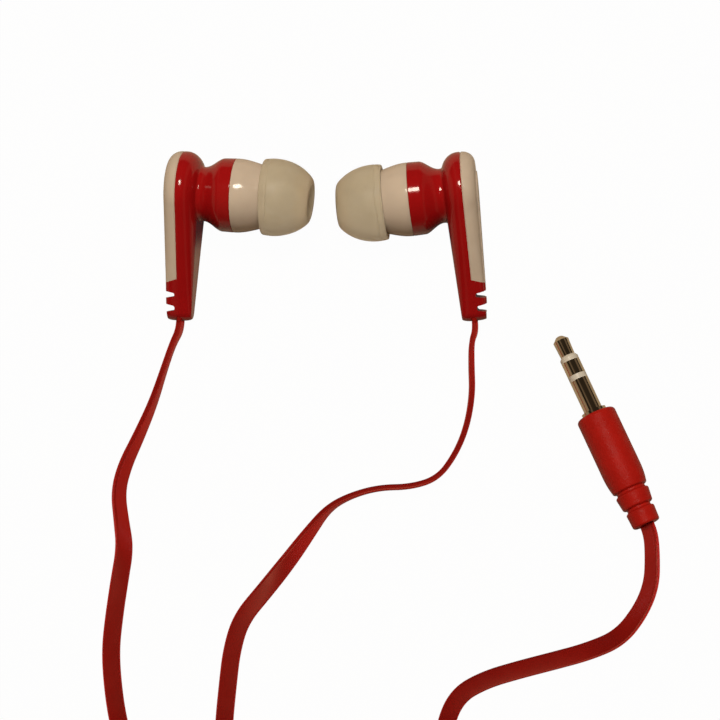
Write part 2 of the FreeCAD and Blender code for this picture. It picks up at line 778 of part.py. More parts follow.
def route_edges(points):
    """Straight runs joined by tangent arcs, and the radii of those arcs."""
    edges = []
    radii = []
    here = points[0]
    for before, corner, after in zip(points, points[1:], points[2:]):
        way_in = (corner - before).normalize()
        way_out = (after - corner).normalize()
        half_turn = way_in.getAngle(way_out) / 2
        cut_back = 0.45 * min((corner - before).Length, (after - corner).Length)
        radii.append(cut_back / math.tan(half_turn))
        start = corner - way_in * cut_back
        end = corner + way_out * cut_back
        middle = (start + end) * 0.5
        sagitta_share = math.cos(half_turn) / (1 + math.cos(half_turn))
        crown = middle + (corner - middle) * sagitta_share
        edges.append(Part.LineSegment(here, start).toShape())
        edges.append(Part.Arc(start, crown, end).toShape())
        here = end
    edges.append(Part.LineSegment(here, points[-1]).toShape())
    return edges, radii


def roll_ways(heading, roll):
    """Directions of a flat cord's width and thickness for its heading and its roll."""
    side = Z_AXIS.cross(heading).normalize()
    over = heading.cross(side)
    turn = math.radians(roll)
    width_way = side * math.cos(turn) + over * math.sin(turn)
    return width_way, heading.cross(width_way)


def flat_cord(name, route):
    """A flat cord along a route of (x, y, z, roll), as ruled spans between its sections."""
    points = [Vector(*spot[:3]) for spot in route]
    edges, radii = route_edges(points)
    lengths = [edge.Length for edge in edges]
    total = sum(lengths)
    corner_at = [0.0]
    for number in range(1, len(points) - 1):
        corner_at.append(sum(lengths[:2 * number - 1]) + lengths[2 * number - 1] / 2)
    corner_at.append(total)
    rolls = [spot[3] for spot in route]

    def roll_at(travelled):
        for low, high, first, last in zip(corner_at, corner_at[1:], rolls, rolls[1:]):
            if travelled <= high:
                share = (travelled - low) / (high - low)
                return first + (last - first) * share
        return rolls[-1]

    sections = []
    travelled = 0.0
    for edge in edges:
        first, last = edge.ParameterRange
        turned = edge.tangentAt(first).getAngle(edge.tangentAt(last))
        rolled = abs(roll_at(travelled + edge.Length) - roll_at(travelled))
        steps = max(1, math.ceil(math.degrees(turned) / 12), math.ceil(rolled / 10))
        for step in range(steps):
            spot = first + (last - first) * step / steps
            roll = roll_at(travelled + edge.Length * step / steps)
            sections.append(flat_section(edge.valueAt(spot), *roll_ways(edge.tangentAt(spot), roll)))
        travelled += edge.Length
    last_heading = edges[-1].tangentAt(edges[-1].LastParameter)
    sections.append(flat_section(points[-1], *roll_ways(last_heading, rolls[-1])))
    solid = Part.makeLoft(sections, True, True)
    area = (cord_width - cord_thick) * cord_thick + math.pi * cord_thick ** 2 / 4
    print(name, "length", round(total, 1), "volume ratio", round(solid.Volume / (area * total), 3),
          "radii", [round(r, 1) for r in radii])
    parts[name] = solid
    return total


def coil_spot(coil, turn):
    """Place and heading on a coil that spirals in on its lower layer and out on the upper one."""
    half = coil["turns"] / 2
    angle = math.radians(coil["from"]) + coil["way"] * 2 * math.pi * turn
    radius = coil["r"] - turn_pitch * (half - abs(turn - half))
    inward = -turn_pitch if turn < half else turn_pitch
    climb = min(max((turn - half) / 0.5 + 0.5, 0.0), 1.0)
    z = cord_width / 2 + layer_pitch * climb * climb * (3 - 2 * climb)
    z_rate = layer_pitch * 6 * climb * (1 - climb) / 0.5
    if abs(turn - half) < 1e-9:
        inward = 0.0
    spin = coil["way"] * 2 * math.pi * radius
    spot = Vector(coil["mid"][0] + radius * math.cos(angle), coil["mid"][1] + radius * math.sin(angle), z)
    heading = Vector(
        inward * math.cos(angle) - spin * math.sin(angle),
        inward * math.sin(angle) + spin * math.cos(angle), z_rate)
    return spot, heading.normalize()


def biarc(a, way_a, b, way_b):
    """Two tangent arcs from one place and heading to another."""
    gap = b - a
    ways = way_a + way_b
    lean = 2 * (1 - way_a.dot(way_b))
    reach = (-gap.dot(ways) + math.sqrt(gap.dot(ways) ** 2 + lean * gap.dot(gap))) / lean
    corners = [a + way_a * reach, b - way_b * reach]
    joint = (corners[0] + corners[1]) * 0.5
    edges = []
    for start, corner, end in ((a, corners[0], joint), (joint, corners[1], b)):
        middle = (start + end) * 0.5
        half_turn = math.acos(min(1.0, (middle - start).Length / (corner - start).Length))
        crown = middle + (corner - middle) * (math.cos(half_turn) / (1 + math.cos(half_turn)))
        edges.append(Part.Arc(start, crown, end).toShape())
    return edges


def wound_cord(name, coil):
    """A coil of flat cord on its edge: one unbroken length in two layers with straight ends."""
    quarters = math.ceil(coil["turns"] * 4 - 1e-6)
    half = quarters // 2
    stops = sorted(
        [coil["turns"] / 2 - step * 0.25 for step in range(1, half)]
        + [coil["turns"] / 2 + step * 0.25 for step in range(1, half)]
        + [0.0, coil["turns"] / 2, coil["turns"]])
    spots = [coil_spot(coil, turn) for turn in stops]
    start, heading = spots[0]
    edges = [Part.LineSegment(start - heading * cord_width, start).toShape()]
    for (a, way_a), (b, way_b) in zip(spots, spots[1:]):
        edges.extend(biarc(a, way_a, b, way_b))
    end, last_heading = spots[-1]
    edges.append(Part.LineSegment(end, end + last_heading * cord_width).toShape())
    path = Part.Wire(edges)
    section = flat_section(start - heading * cord_width, Z_AXIS, Z_AXIS.cross(heading).normalize())
    solid = path.makePipeShell([section], True, False)

    samples = []
    travelled = 0.0
    for edge in edges:
        count = max(2, int(edge.Length / 1.5))
        for spot in edge.discretize(count)[:-1]:
            samples.append((travelled, spot))
            travelled += edge.Length / (count - 1)
    least = BIG
    for index, (at, spot) in enumerate(samples):
        for other_at, other in samples[index + 1:]:
            if other_at - at > 4 * cord_width:
                apart = other - spot
                flat_gap = math.hypot(apart.x, apart.y) - cord_thick
                tall_gap = abs(apart.z) - cord_width
                least = min(least, max(flat_gap, tall_gap))
    area = (cord_width - cord_thick) * cord_thick + math.pi * cord_thick ** 2 / 4
    total = sum(edge.Length for edge in edges)
    print(name, "length", round(total, 1), "volume ratio", round(solid.Volume / (area * total), 3),
          "least gap to itself", round(least, 2))
    parts[name] = solid
    entry = (start - heading * cord_width, heading)
    leave = (end + last_heading * cord_width, last_heading)
    return entry, leave, total


def make_boot_form():
    """The boot as one turned solid: its body with a tapered end, then the ribs and their grooves."""
    nose_round = 0.7
    body_end = sum(rib["len"] + groove_len for rib in boot_ribs) - boot_len
    taper_start = body_end + boot_taper_len
    taper = Part.BezierCurve()
    taper.setPoles([
        Vector(taper_start, boot_r, 0), Vector(taper_start - 0.49 * boot_taper_len, boot_r, 0),
        Vector(body_end + boot_round, boot_taper_r, 0),
    ])
    edges = [
        arc((0, boot_r - nose_round), (-0.3 * nose_round, boot_r - 0.3 * nose_round),
            (-nose_round, boot_r)),
        line((-nose_round, boot_r), (taper_start, boot_r)),
        taper.toShape(),
    ]

    def round_off(x, radius):
        """Rounds a rear edge, and gives the end of the round."""
        end = (x, radius - boot_round)
        edges.append(arc((x + boot_round, radius), (x + 0.3 * boot_round, radius - 0.3 * boot_round), end))
        return end

    here = round_off(body_end, boot_taper_r)
    x = body_end
    for rib in boot_ribs:
        r_front, r_rear = rib["r"]
        floor = r_front - groove_depth
        front = x - groove_len
        rib_foot = (front, r_front - boot_round / 2)
        rib_top = (front - boot_round, r_front)
        edges.append(line(here, (x - groove_len / 4, floor)))
        edges.append(line((x - groove_len / 4, floor), (front + groove_len / 4, floor)))
        edges.append(line((front + groove_len / 4, floor), rib_foot))
        edges.append(arc(rib_foot, (front - 0.3 * boot_round, r_front - 0.15 * boot_round), rib_top))
        x = front - rib["len"]
        edges.append(line(rib_top, (x + boot_round, r_rear)))
        here = round_off(x, r_rear)
    edges.append(line(here, (x, 0)))
    edges.append(line((x, 0), (0, 0)))
    edges.append(line((0, 0), (0, boot_r - nose_round)))
    return revolve(edges)


def make_plug():
    """The contacts, insulators, inner mould and boot of the plug, along its own X axis."""
    sleeve_end = collar_len + sleeve_len
    ring_start = sleeve_end + ring_gap_len
    ring_end = ring_start + ring_len
    tip_start_x = ring_end + tip_gap_len
    tip_end_x = tip_start_x + tip_len
    head_x = tip_start_x + tip_head_len
    tags = [-tag_step, -2 * tag_step, -3 * tag_step]

    tip = revolve([
        (tags[2], 0), (tags[2], rod_r), (tip_start_x, rod_r), (tip_start_x, tip_neck_r),
        (head_x - 0.5, tip_head_r - 0.03), (head_x, tip_head_r), (tip_end_x - 0.12, tip_nose_r + 0.25),
        (tip_end_x, tip_nose_r), (tip_end_x, 0),
    ])
    inner_r, outer_r = ring_tube_r
    ring = revolve([
        (tags[1], inner_r), (ring_end, inner_r), (ring_end, shaft_r), (ring_start, shaft_r),
        (ring_start, outer_r), (tags[1], outer_r),
    ])
    sleeve = revolve([
        (tags[0], sleeve_bore_r), (sleeve_end, sleeve_bore_r), (sleeve_end, shaft_r),
        (collar_len, shaft_r), (collar_len, collar_r), (0, collar_r), (0, shaft_r), (tags[0], shaft_r),
    ])
    fit = seat_gap / 2
    tip_ring = revolve([
        (tags[1], rod_r + fit), (tip_start_x, rod_r + fit), (tip_start_x, tip_neck_r),
        (ring_end + 0.75, shaft_r), (ring_end, shaft_r), (ring_end, inner_r - fit),
        (tags[1], inner_r - fit),
    ])
    sleeve_ring = revolve([
        (tags[0], outer_r + fit), (ring_start, outer_r + fit), (ring_start, shaft_r),
        (sleeve_end, shaft_r), (sleeve_end, sleeve_bore_r - fit), (tags[0], sleeve_bore_r - fit),
    ])
    contacts = [tip, ring, sleeve, tip_ring, sleeve_ring]
    core = tube(-core_len, 0, core_r).cut(contacts)

    rear = -boot_len
    boot = make_boot_form()
    room_end = -core_len - boot_hollow_len
    room = tube(room_end, -core_len, boot_hollow_r)
    roll = math.radians(plug_cord_roll)
    width_way = Vector(0, -math.cos(roll), math.sin(roll))
    thick_way = X_AXIS.cross(width_way)
    channel_wire = flat_section(Vector(rear, 0, 0), width_way, thick_way,
                                cord_width + 2 * seat_gap, cord_thick + 2 * seat_gap)
    channel = Part.Face(channel_wire).extrude(Vector(room_end - rear + 0.1, 0, 0))
    boot = boot.cut([tube(-core_len, 0.1, core_r + seat_gap), room, channel])

    stub_wire = flat_section(Vector(rear, 0, 0), width_way, thick_way)
    stub = Part.Face(stub_wire).extrude(Vector(cord_in_boot, 0, 0))
    wires = [stub]
    stub_end = rear + cord_in_boot
    targets = [0.0, (inner_r + outer_r) / 2, -(sleeve_bore_r + shaft_r) / 2]
    starts = [0.0, plug_wire_apart, -plug_wire_apart]
    for y, start_y, tag_x in zip(targets, starts, (tags[2], tags[1], tags[0])):
        wires.append(round_wire([
            width_way * start_y + X_AXIS * stub_end,
            width_way * (start_y * 1.02) + Vector(stub_end + plug_wire_lead, 0, 0.1),
            Vector(-core_len - 0.9, y + 0.02, 0), Vector(tag_x, y, 0),
        ], lead_wire_r))
    core = core.cut(wires[1:])
    parts["plug_tip_contact"] = tip
    parts["plug_ring_contact"] = ring
    parts["plug_sleeve_contact"] = sleeve
    parts["plug_insulators"] = Part.makeCompound([tip_ring, sleeve_ring])
    parts["plug_inner_mould"] = core
    parts["plug_boot"] = boot
    parts["plug_wires"] = Part.makeCompound(wires)
    names = [name for name in parts if name.startswith("plug_")]

    nose_x = tip_end_x
    turned = Rotation(Z_AXIS, plug_heading).multiply(Rotation(Vector(0, 1, 0), plug_nose_down))
    nose = turned.multVec(Vector(nose_x, 0, 0))
    base = Vector(plug_nose_at[0] - nose.x, plug_nose_at[1] - nose.y, 0)
    lowest = 0.0
    for name in names:
        copy = parts[name].copy()
        copy.Placement = Placement(base, turned)
        lowest = min(lowest, copy.optimalBoundingBox(False, False).ZMin)
    placed = Placement(Vector(base.x, base.y, -lowest), turned)
    for name in names:
        parts[name].Placement = placed
    return placed


def make_split():
    """The moulded piece where both branches join the main cord."""
    x, y = split_at
    wide = split_branch_y + cord_width / 2 + split_wall
    narrow = cord_width / 2 + split_end_wall
    bend_x = x + split_wide_len
    end_x = x + split_len
    corners = [
        (x, y - wide), (bend_x, y - wide), (end_x, y - narrow),
        (end_x, y + narrow), (bend_x, y + wide), (x, y + wide),
    ]
    outline = [Vector(*corner, 0) for corner in corners]
    block = Part.Face(Part.makePolygon(outline + outline[:1])).extrude(Vector(0, 0, split_thick))
    upright = [edge for edge in block.Edges if abs(edge.tangentAt(edge.FirstParameter).z) > 0.9]
    block = block.makeFillet(split_corner_r, upright)
    heights = [edge.CenterOfMass.z for edge in block.Edges]
    rims = [edge for edge, z in zip(block.Edges, heights) if min(z, split_thick - z) < 1e-3]
    parts["y_split"] = block.makeFillet(split_rim_r, rims)


def exit_of(placed, way):
    """Where the cord leaves a bud, its heading there and its roll."""
    spot = placed.multVec(Vector(cord_seat_x, -stem_reach, 0))
    heading = placed.Rotation.multVec(Vector(0, -1, 0))
    side = Z_AXIS.cross(heading).normalize()
    over = heading.cross(side)
    width_way = placed.Rotation.multVec(Vector(0, 0, way))
    roll = math.degrees(math.atan2(width_way.dot(over), width_way.dot(side)))
    return spot, heading, roll


def on_route(spot, roll):
    return (spot.x, spot.y, spot.z, roll)


def main():
    os.makedirs("parts", exist_ok=True)
    bud = make_bud()
    placed = {name: lay_bud(bud, name, pose) for name, pose in bud_poses.items()}
    plug_placed = make_plug()
    make_split()

    split_x, split_y = split_at
    mid_z = split_thick / 2
    joins = {
        "left": Vector(split_x, split_y - split_branch_y, mid_z),
        "right": Vector(split_x, split_y + split_branch_y, mid_z),
        "main": Vector(split_x + split_len, split_y, mid_z),
    }
    starts = {"left": exit_of(placed["left"], 1), "right": exit_of(placed["right"], -1)}
    rear = plug_placed.multVec(Vector(-boot_len, 0, 0))
    starts["main"] = (rear, plug_placed.Rotation.multVec(Vector(-1, 0, 0)), plug_cord_roll)
    routes = {
        "left": (left_lead_route, left_tail_route),
        "right": (right_lead_route, right_tail_route),
        "main": (main_lead_route, main_tail_route),
    }
    for name, (lead_route, tail_route) in routes.items():
        coil_in, coil_out, coiled = wound_cord("cord_" + name + "_coil", coils[name])
        spot, heading, roll = starts[name]
        lead = [on_route(spot, roll), on_route(spot + heading * straight_out, roll)] + lead_route
        lead.append(on_route(coil_in[0] - coil_in[1] * coil_run_in, 90))
        lead.append(on_route(coil_in[0], 90))
        tail = [on_route(coil_out[0], 90), on_route(coil_out[0] + coil_out[1] * coil_run_out, 90)]
        tail += tail_route
        away = 1 if name == "main" else -1
        tail.append(on_route(joins[name] + X_AXIS * away * split_run_in, 0))
        tail.append(on_route(joins[name], 0))
        lead_len = flat_cord("cord_" + name + "_lead", lead)
        tail_len = flat_cord("cord_" + name + "_tail", tail)
        print("cord", name, "in all", round(lead_len + coiled + tail_len, 1))
        print("  lead", [[round(v, 2) for v in spot] for spot in lead])
        print("  tail", [[round(v, 2) for v in spot] for spot in tail])

    buds = Part.makeCompound([s for n, s in parts.items() if n.startswith(("left_", "right_"))])
    box = buds.optimalBoundingBox(False, False)
    print("buds box", [round(v, 2) for v in (box.XMin, box.XMax, box.YMin, box.YMax, box.ZMin, box.ZMax)])
    for name, place in placed.items():
        print(name, "bud at", [round(v, 4) for v in place.Base], "axis", [
            round(v, 5) for v in place.Rotation.multVec(X_AXIS)])
    print("plug at", [round(v, 4) for v in plug_placed.Base], "axis", [
        round(v, 5) for v in plug_placed.Rotation.multVec(X_AXIS)])
    for name, shape in sorted(parts.items()):
        if not shape.isValid() or shape.Volume <= 0 or not shape.Solids:
            print("bad shape", name, shape.isValid(), shape.Volume, len(shape.Solids))
        shape.exportStep("parts/" + name + ".step")
    print(len(parts), "parts")


main()
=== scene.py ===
"""Looks of the wired in-ear earphones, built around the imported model. Metres throughout."""
import json
import math

import bpy
from mathutils import Matrix, Vector


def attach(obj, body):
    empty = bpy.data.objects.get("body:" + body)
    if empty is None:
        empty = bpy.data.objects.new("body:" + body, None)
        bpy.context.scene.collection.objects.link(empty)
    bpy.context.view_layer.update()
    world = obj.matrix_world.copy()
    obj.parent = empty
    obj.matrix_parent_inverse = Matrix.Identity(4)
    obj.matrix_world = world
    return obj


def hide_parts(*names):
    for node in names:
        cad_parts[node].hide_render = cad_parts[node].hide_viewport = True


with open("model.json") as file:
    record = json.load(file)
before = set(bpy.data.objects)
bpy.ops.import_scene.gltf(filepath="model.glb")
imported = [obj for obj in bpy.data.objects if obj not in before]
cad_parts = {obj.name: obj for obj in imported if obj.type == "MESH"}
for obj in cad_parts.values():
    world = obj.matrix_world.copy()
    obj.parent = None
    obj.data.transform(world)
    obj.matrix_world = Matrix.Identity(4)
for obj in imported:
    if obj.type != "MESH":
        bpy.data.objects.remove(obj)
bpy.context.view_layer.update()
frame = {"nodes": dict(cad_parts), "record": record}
nodes = frame["nodes"]
scene = bpy.context.scene
mounts = {mount["name"]: mount for mount in frame["record"]["mounts"]}
UP = Vector((0.0, 0.0, 1.0))

# Camera: looks down on the table, a little from the side of the cord
VIEW_TARGET = Vector((0.0061, -0.0224, 0.0))
VIEW_TILT = math.radians(6.0)
VIEW_DISTANCE = 0.350
LENS = 93.45
SENSOR = 36.0
VIEW_CLIP = (0.01, 10.0)

# Flat cord
CORD_WIDTH = 0.0033
CORD_THICK = 0.00105
CORD_CORNER = 0.00036
CORNER_STEPS = 4
SAMPLES_PER_RUN = 8

# Put-away coils: turns side by side in two layers, on their edge, and the part of a turn in
# which the cord climbs from the lower layer to the upper one
TURN_PITCH = 0.0023
LAYER_PITCH = 0.0039
CLIMB_TURNS = 0.5
COIL_POINTS_PER_TURN = 24

# Silicone ear tip: places along the axis of the bud, from the end of its nose at 0, and radii
TIP_LENGTH = 0.0088
TIP_STEPS = 128
# its dome, and how far the dome's curve would run on past the nose
TIP_R = 0.0071
TIP_WIDEST = 0.0070
TIP_FULLNESS = 0.0014
TIP_WALL = 0.0006
TIP_DOME_START = 0.0004
TIP_DOME_STEPS = 22
TIP_FACE_ROUND = 0.00045
# its mouth and bore, with the places where the mouth's flare is drawn
TIP_MOUTH_R = 0.0031
TIP_MOUTH_ROUND = 0.0003
TIP_MOUTH_PLACES = (0.0014, 0.0008, 0.00035)
TIP_BORE_R = 0.00235
TIP_BORE_LENGTH = 0.00205
# its core round the nozzle, with the recess for the nozzle's lip
TIP_CORE_R = (0.00270, 0.00365)
TIP_CORE_END = 0.00725
TIP_CORE_ROUND = 0.0002
TIP_RECESS_R = 0.0029
TIP_RECESS_END = 0.00605
TIP_RECESS_SLOPE = 0.00005
# the band at its rim, set off by a fine groove: place from the band's start, and depth
TIP_BAND = 0.00125
TIP_BAND_DEPTH = 0.00001
TIP_BAND_SHARES = (0.1, 0.3, 0.5, 0.7, 0.86)
TIP_GROOVE_LEAD = 0.0001
TIP_GROOVE = ((-0.00003, 0.00003), (0.0, 0.00005), (0.00005, 0.00004))
TIP_RIM_R = 0.00625
TIP_RIM_ROUND = 0.00012
TIP_RIM_DEPTH = 0.00003
TIP_RIM_LEAD = 0.0003
# its inside: where the wall meets the core, as a share of the widest place, and their bend
TIP_ROOT = 0.36
TIP_ROOT_BEND = 0.0012
TIP_INSIDE_STEPS = 12
# how far each nose is bent out of line, in degrees, over this share of the widest place
TIP_BENDS = {"left": -3.5, "right": 2.0}
TIP_BEND_SHARE = 0.85

# Routes of the cords: x, y, z of the middle of the cord, and its roll in degrees, where 90
# stands the flat cord on its edge and 0 or 180 lays it flat
LEFT_LEAD = [
    (-0.02730, -0.01539, 0.00324, 96.4), (-0.02738, -0.01711, 0.00291, 96.4),
    (-0.02870, -0.01960, 0.00260, 90), (-0.03030, -0.02410, 0.00190, 91),
    (-0.03230, -0.03050, 0.00166, 100), (-0.03500, -0.03690, 0.00160, 113),
    (-0.03750, -0.04220, 0.00149, 124), (-0.03870, -0.04710, 0.00149, 125),
    (-0.03800, -0.05250, 0.00143, 130), (-0.03730, -0.05740, 0.00116, 149),
    (-0.03830, -0.06350, 0.00084, 166), (-0.03920, -0.06990, 0.00060, 178),
    (-0.03980, -0.07610, 0.00054, 180), (-0.03930, -0.08260, 0.00054, 180),
    (-0.03820, -0.08920, 0.00068, 178), (-0.03630, -0.09420, 0.00158, 135),
    (-0.03408, -0.09896, 0.00165, 90), (-0.03125, -0.10537, 0.00165, 90),
]
LEFT_TAIL = [
    (-0.02801, -0.11747, 0.00555, 90), (-0.02747, -0.12244, 0.00555, 90),
    (-0.0259, -0.1299, 0.00340, 65), (-0.0206, -0.1373, 0.00160, 28),
    (-0.0128, -0.1418, 0.00130, 6), (-0.0051, -0.1425, 0.00130, 0),
    (-0.0006, -0.1425, 0.00130, 0),
]
RIGHT_LEAD = [
    (0.02740, -0.01554, 0.00405, 96.6), (0.02759, -0.01725, 0.00369, 96.6),
    (0.02680, -0.01940, 0.00330, 92), (0.02680, -0.02380, 0.00245, 90),
    (0.02700, -0.02900, 0.00185, 90), (0.02590, -0.03520, 0.00167, 90),
    (0.02370, -0.04030, 0.00167, 90), (0.02050, -0.04460, 0.00167, 90),
    (0.01550, -0.04620, 0.00167, 90), (0.00960, -0.04630, 0.00167, 90),
    (0.00430, -0.04780, 0.00167, 92), (0.00020, -0.05010, 0.00167, 100),
    (-0.00310, -0.05440, 0.00151, 123), (-0.00700, -0.05970, 0.00118, 148),
    (-0.01150, -0.06530, 0.00081, 168), (-0.01580, -0.07040, 0.00068, 174),
    (-0.01750, -0.07610, 0.00054, 180), (-0.01820, -0.08260, 0.00054, 180),
    (-0.01880, -0.08920, 0.00068, 178), (-0.01890, -0.09540, 0.00158, 135),
    (-0.01842, -0.10140, 0.00165, 90), (-0.01827, -0.10840, 0.00165, 90),
]
RIGHT_TAIL = [
    (-0.01744, -0.11791, 0.00555, 90), (-0.01668, -0.12286, 0.00555, 90),
    (-0.0138, -0.1296, 0.00330, 60), (-0.0100, -0.1351, 0.00160, 20),
    (-0.0051, -0.1383, 0.00130, 0), (-0.0006, -0.1383, 0.00130, 0),
]
MAIN_LEAD = [
    (0.05819, -0.05322, 0.00739, 56), (0.05887, -0.05481, 0.00766, 56),
    (0.05920, -0.05890, 0.00690, 56), (0.05930, -0.06400, 0.00490, 50),
    (0.05760, -0.06890, 0.00270, 40), (0.05390, -0.07390, 0.00120, 26),
    (0.04800, -0.07640, 0.00073, 8), (0.04160, -0.07810, 0.00054, 0),
    (0.03530, -0.07970, 0.00054, 0), (0.02910, -0.08150, 0.00054, 0),
    (0.02400, -0.08430, 0.00054, 0), (0.02150, -0.08990, 0.00079, 8),
    (0.02160, -0.09570, 0.00158, 50), (0.02221, -0.10140, 0.00165, 90),
    (0.02234, -0.10840, 0.00165, 90),
]
MAIN_TAIL = [
    (0.02388, -0.12008, 0.00555, 90), (0.02508, -0.12493, 0.00555, 90),
    (0.0257, -0.1313, 0.00340, 65), (0.0229, -0.1371, 0.00170, 25),
    (0.0169, -0.1404, 0.00130, 0), (0.0124, -0.1404, 0.00130, 0),
]

# Coils: middle, outer radius, turns, the side that the cord enters in degrees, and +1 for
# winding anticlockwise seen from above
COILS = {
    "left": {
        "mid": (-0.0456, -0.1157), "r": 0.0173, "turns": 2 + 20 / 360, "from": 25.0, "way": -1,
    },
    "right": {
        "mid": (-0.0012, -0.1117), "r": 0.0170, "turns": 2 + 10 / 360, "from": 180.0, "way": 1,
    },
    "main": {
        "mid": (0.0424, -0.1117), "r": 0.0200, "turns": 7 + 15 / 360, "from": 180.0, "way": 1,
    },
}

# The range in which most values of a noise lie
NOISE_RANGE = (0.3, 0.7)

# The table top: half its width, how far it lies under the cords, its own colour, and how
# much of its white each kind of ray sees over that
FLOOR_HALF = 3.0
FLOOR_DROP = 0.00002
FLOOR_COLOUR = (0.38, 0.29, 0.19, 1.0)
FLOOR_WHITE = {"Is Camera Ray": 0.98, "Is Glossy Ray": 0.04, "Is Transmission Ray": 0.5}

# The room round the table: brightness by direction, from the left side at 0 to the right at 1
ROOM_STRIPES = [
    (0.0, 0.32), (0.07, 0.28), (0.09, 0.02), (0.20, 0.02), (0.23, 0.15), (0.31, 0.15),
    (0.35, 0.035), (0.75, 0.03), (0.79, 0.17), (0.86, 0.17), (0.89, 0.02), (1.0, 0.02),
]
ROOM_TINT = (1.0, 0.70, 0.46)

# Lamps: place, size, watts, colour, and whether they light by diffuse rays, by glossy ones
# or by both
PLAIN_LIGHT = (1.0, 1.0, 1.0)
WARM_LIGHT = (1.0, 0.90, 0.76)
RED_LIGHT = (1.0, 0.40, 0.24)
LAMPS = {
    "high_box": ((0.0, 0.28, 1.20), (0.6, 0.4), 10.5, PLAIN_LIGHT, "diffuse"),
    "cord_box": ((0.02, 0.03, 0.13), (0.06, 0.05), 0.098, PLAIN_LIGHT, "diffuse"),
    "near_box": ((-0.025, 0.108, 0.316), (0.076, 0.062), 0.43, WARM_LIGHT, "both"),
    "far_box": ((-0.10, 0.24, 1.12), (0.22, 0.16), 2.4, WARM_LIGHT, "both"),
    "glint": ((0.02, -0.42, 0.55), (0.30, 0.12), 6.5, RED_LIGHT, "glossy"),
    "tip_glow": ((0.0, -0.06, 0.015), (0.03, 0.02), 0.017, PLAIN_LIGHT, "diffuse"),
    "left_glow": ((-0.26, -0.10, 0.045), (0.25, 0.10), 1.05, PLAIN_LIGHT, "diffuse"),
    "right_glow": ((0.26, -0.10, 0.065), (0.25, 0.10), 1.05, PLAIN_LIGHT, "diffuse"),
}


def make_camera():
    """The photograph's view: from above, leaning a little towards the cord."""
    data = bpy.data.cameras.new("view")
    data.lens = LENS
    data.sensor_width = SENSOR
    data.clip_start, data.clip_end = VIEW_CLIP
    camera = bpy.data.objects.new("view", data)
    lean = Vector((0.0, -math.sin(VIEW_TILT), math.cos(VIEW_TILT)))
    camera.location = VIEW_TARGET + lean * VIEW_DISTANCE
    camera.rotation_euler = (VIEW_TILT, 0.0, 0.0)
    scene.collection.objects.link(camera)
    scene.camera = camera


def spline_samples(points):
    """Points read along one smooth spline with these control points."""
    curve = bpy.data.curves.new("route", "CURVE")
    curve.dimensions = "3D"
    spline = curve.splines.new("NURBS")
    spline.points.add(len(points) - 1)
    for control, point in zip(spline.points, points):
        control.co = (*point, 1.0)
    spline.order_u = 3
    spline.use_endpoint_u = True
    spline.resolution_u = SAMPLES_PER_RUN
    carrier = bpy.data.objects.new("route", curve)
    mesh = bpy.data.meshes.new_from_object(carrier)
    samples = [vertex.co.copy() for vertex in mesh.vertices]
    bpy.data.meshes.remove(mesh)
    bpy.data.objects.remove(carrier)
    bpy.data.curves.remove(curve)
    return samples


def eased(value):
    """A value held between 0 and 1, with a gentle start and end."""
    share = min(max(value, 0.0), 1.0)
    return share * share * (3 - 2 * share)


def coil_points(coil):
    """Control points of a coil that spirals in on its lower layer and out on the upper one."""
    count = math.ceil(coil["turns"] * COIL_POINTS_PER_TURN)
    half = coil["turns"] / 2
    outside = 1 / math.cos(math.pi / COIL_POINTS_PER_TURN)
    points = []
    for number in range(count + 1):
        turn = coil["turns"] * number / count
        angle = math.radians(coil["from"]) + coil["way"] * 2 * math.pi * turn
        radius = (coil["r"] - TURN_PITCH * (half - abs(turn - half))) * outside
        climb = eased((turn - half) / CLIMB_TURNS + 0.5)
        points.append((
            coil["mid"][0] + radius * math.cos(angle),
            coil["mid"][1] + radius * math.sin(angle),
            CORD_WIDTH / 2 + LAYER_PITCH * climb,
            90,
        ))
    return points


def flat_section():
    """Points round the cord's section, a rectangle with round corners."""
    spots = []
    corners = [(1, 1, 0), (-1, 1, 90), (-1, -1, 180), (1, -1, 270)]
    for side, face, start in corners:
        mid_u = side * (CORD_WIDTH / 2 - CORD_CORNER)
        mid_v = face * (CORD_THICK / 2 - CORD_CORNER)
        for step in range(CORNER_STEPS + 1):
            angle = math.radians(start + 90.0 / CORNER_STEPS * step)
            spots.append((
                mid_u + CORD_CORNER * math.cos(angle),
                mid_v + CORD_CORNER * math.sin(angle),
            ))
    return spots


def mesh_piece(name, vertices, faces, material, smooth=True):
    """A mesh object from points and faces, linked to the scene."""
    mesh = bpy.data.meshes.new(name)
    mesh.from_pydata(vertices, [], faces)
    mesh.validate()
    piece = bpy.data.objects.new(name, mesh)
    scene.collection.objects.link(piece)
    mesh.materials.append(material)
    if smooth:
        mesh.polygons.foreach_set("use_smooth", [True] * len(mesh.polygons))
    return piece


def skin(rings, size, closed):
    """Faces from each ring of points to the next, and from the last to the first if closed."""
    faces = []
    for ring in range(rings if closed else rings - 1):
        low, high = ring * size, (ring + 1) % rings * size
        for spoke in range(size):
            after = (spoke + 1) % size
            faces.append((low + spoke, low + after, high + after, high + spoke))
    return faces


